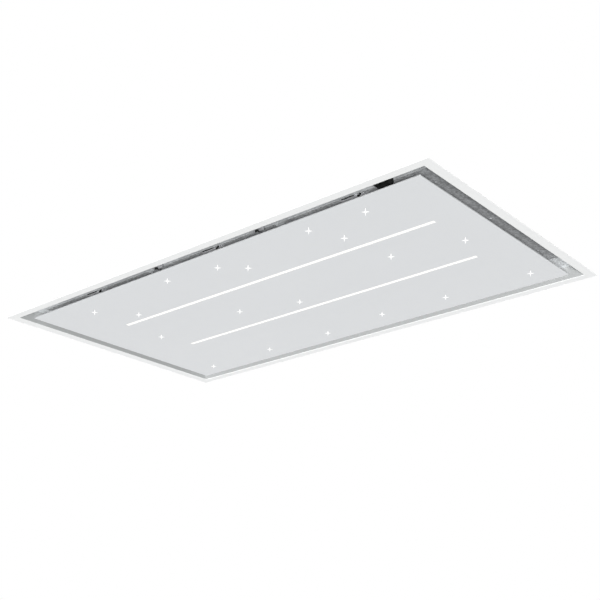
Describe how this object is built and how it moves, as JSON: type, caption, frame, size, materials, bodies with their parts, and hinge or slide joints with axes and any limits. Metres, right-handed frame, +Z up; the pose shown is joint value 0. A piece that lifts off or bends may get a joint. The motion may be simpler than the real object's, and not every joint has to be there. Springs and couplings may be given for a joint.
{
  "type": "ceiling range hood",
  "caption": "Flush ceiling extractor hood: a white flanged frame round a hinged light panel with an air slot on all sides, grease filters, casing and blower box above.",
  "frame": {"origin": "middle of the frame's opening, on the ceiling plane, which is the upper face of the gasket on the flange", "axes": "+X along the hood's length, +Y towards the hinged edge of the panel and the duct collar, +Z up"},
  "size_m": [1.2, 0.69, 0.3135],
  "materials": {
    "frame_white": "white stove enamel, satin",
    "panel_white": "white powder coat, fine satin",
    "galvanised": "galvanised sheet with a soft spangle",
    "bright_steel": "zinc plated fasteners and pins",
    "filter_alloy": "folded alloy sheet, dull",
    "mesh_alloy": "expanded alloy mesh",
    "latch_steel": "plated latch plate",
    "black_plastic": "black moulded plastic",
    "white_plastic": "white moulded plastic",
    "rubber_black": "anti-vibration rubber",
    "circuit_board": "green circuit board with parts",
    "light_alloy": "extruded light profile",
    "lit_lens": "opal lens, lit",
    "motor_black": "black enamelled motor shell",
    "gasket_foam": "grey closed-cell foam strip"
  },
  "bodies": {
    "root": {"frame_flanges": "frame_white", "frame_walls": "frame_white", "ceiling_gasket": "gasket_foam", "frame_screws": "bright_steel", "casing_sides": "galvanised", "casing_ends": "galvanised", "casing_corners": "galvanised", "casing_top": "galvanised", "deck_rails": "galvanised", "deck_crossbars": "galvanised", "hinge_brackets": "bright_steel", "hinge_pins": "bright_steel", "catch_bodies": "latch_steel", "remote_receiver": "black_plastic", "hanger_brackets": "galvanised", "blower_box_sides": "galvanised", "blower_box_ends": "galvanised", "blower_box_top": "galvanised", "scroll_housing": "galvanised", "inlet_rings": "bright_steel", "blower_blocks": "rubber_black", "blower_motor": "motor_black", "motor_bracket": "bright_steel", "motor_mounts": "rubber_black", "outlet_collar": "galvanised", "flap_pin": "bright_steel", "control_box": "galvanised", "control_box_lid": "galvanised", "control_box_screws": "bright_steel", "control_board": "circuit_board", "motor_capacitor": "white_plastic", "terminal_block": "white_plastic", "cable_gland": "black_plastic"},
    "impeller": {"impeller": "black_plastic", "impeller_shaft": "bright_steel"},
    "flap_left": {"flap_left": "black_plastic"},
    "flap_right": {"flap_right": "black_plastic"},
    "catch_plunger_left": {"catch_plunger_left": "black_plastic"},
    "catch_plunger_right": {"catch_plunger_right": "black_plastic"},
    "panel": {"panel_face": "panel_white", "panel_stiffeners": "galvanised", "light_profiles": "light_alloy", "led_boards": "circuit_board", "light_diffusers": "lit_lens", "star_lenses": "lit_lens", "star_boards": "circuit_board", "light_driver": "white_plastic", "hinge_arms": "bright_steel", "strike_posts": "bright_steel", "panel_fasteners": "bright_steel"},
    "filter_left": {"filter_frame_left": "filter_alloy", "filter_mesh_left": "mesh_alloy"},
    "latch_left": {"filter_latch_left": "latch_steel"},
    "filter_centre": {"filter_frame_centre": "filter_alloy", "filter_mesh_centre": "mesh_alloy"},
    "latch_centre": {"filter_latch_centre": "latch_steel"},
    "filter_right": {"filter_frame_right": "filter_alloy", "filter_mesh_right": "mesh_alloy"},
    "latch_right": {"filter_latch_right": "latch_steel"}
  },
  "joints": [
    {"name": "panel_hinge", "type": "hinge", "parent": "root", "child": "panel", "pos_m": [0, 0.286, 0.015], "axis": [1, 0, 0], "range_deg": [0, 88]},
    {"name": "filter_drop_left", "type": "hinge", "parent": "root", "child": "filter_left", "pos_m": [-0.375, 0.2655, 0.0315], "axis": [1, 0, 0], "range_deg": [0, 0.6]},
    {"name": "latch_pull_left", "type": "slide", "parent": "filter_left", "child": "latch_left", "axis": [0, 1, 0], "range_m": [0, 0.006]},
    {"name": "filter_drop_centre", "type": "hinge", "parent": "root", "child": "filter_centre", "pos_m": [0, 0.2655, 0.0315], "axis": [1, 0, 0], "range_deg": [0, 0.6]},
    {"name": "latch_pull_centre", "type": "slide", "parent": "filter_centre", "child": "latch_centre", "axis": [0, 1, 0], "range_m": [0, 0.006]},
    {"name": "filter_drop_right", "type": "hinge", "parent": "root", "child": "filter_right", "pos_m": [0.375, 0.2655, 0.0315], "axis": [1, 0, 0], "range_deg": [0, 0.6]},
    {"name": "latch_pull_right", "type": "slide", "parent": "filter_right", "child": "latch_right", "axis": [0, 1, 0], "range_m": [0, 0.006]},
    {"name": "catch_press_left", "type": "slide", "parent": "root", "child": "catch_plunger_left", "axis": [0, 0, 1], "range_m": [0, 0.003], "stiffness_N_per_m": 300, "springref_m": -0.003},
    {"name": "catch_press_right", "type": "slide", "parent": "root", "child": "catch_plunger_right", "axis": [0, 0, 1], "range_m": [0, 0.003], "stiffness_N_per_m": 300, "springref_m": -0.003},
    {"name": "impeller_spin", "type": "hinge", "parent": "root", "child": "impeller", "pos_m": [0, -0.02, 0.1985], "axis": [1, 0, 0], "continuous": true},
    {"name": "flap_swing_left", "type": "hinge", "parent": "root", "child": "flap_left", "pos_m": [0, 0.19, 0.231], "axis": [0, 0, -1], "range_deg": [0, 70], "stiffness_Nm_per_rad": 0.02, "springref_deg": -5.73},
    {"name": "flap_swing_right", "type": "hinge", "parent": "root", "child": "flap_right", "pos_m": [0, 0.19, 0.231], "axis": [0, 0, 1], "range_deg": [0, 70], "stiffness_Nm_per_rad": 0.02, "springref_deg": -5.73}
  ],
  "couplings": [
    {"joint": "latch_pull_left", "follows": "filter_drop_left", "m_per_rad": 0.57},
    {"joint": "latch_pull_centre", "follows": "filter_drop_centre", "m_per_rad": 0.57},
    {"joint": "latch_pull_right", "follows": "filter_drop_right", "m_per_rad": 0.57}
  ]
}
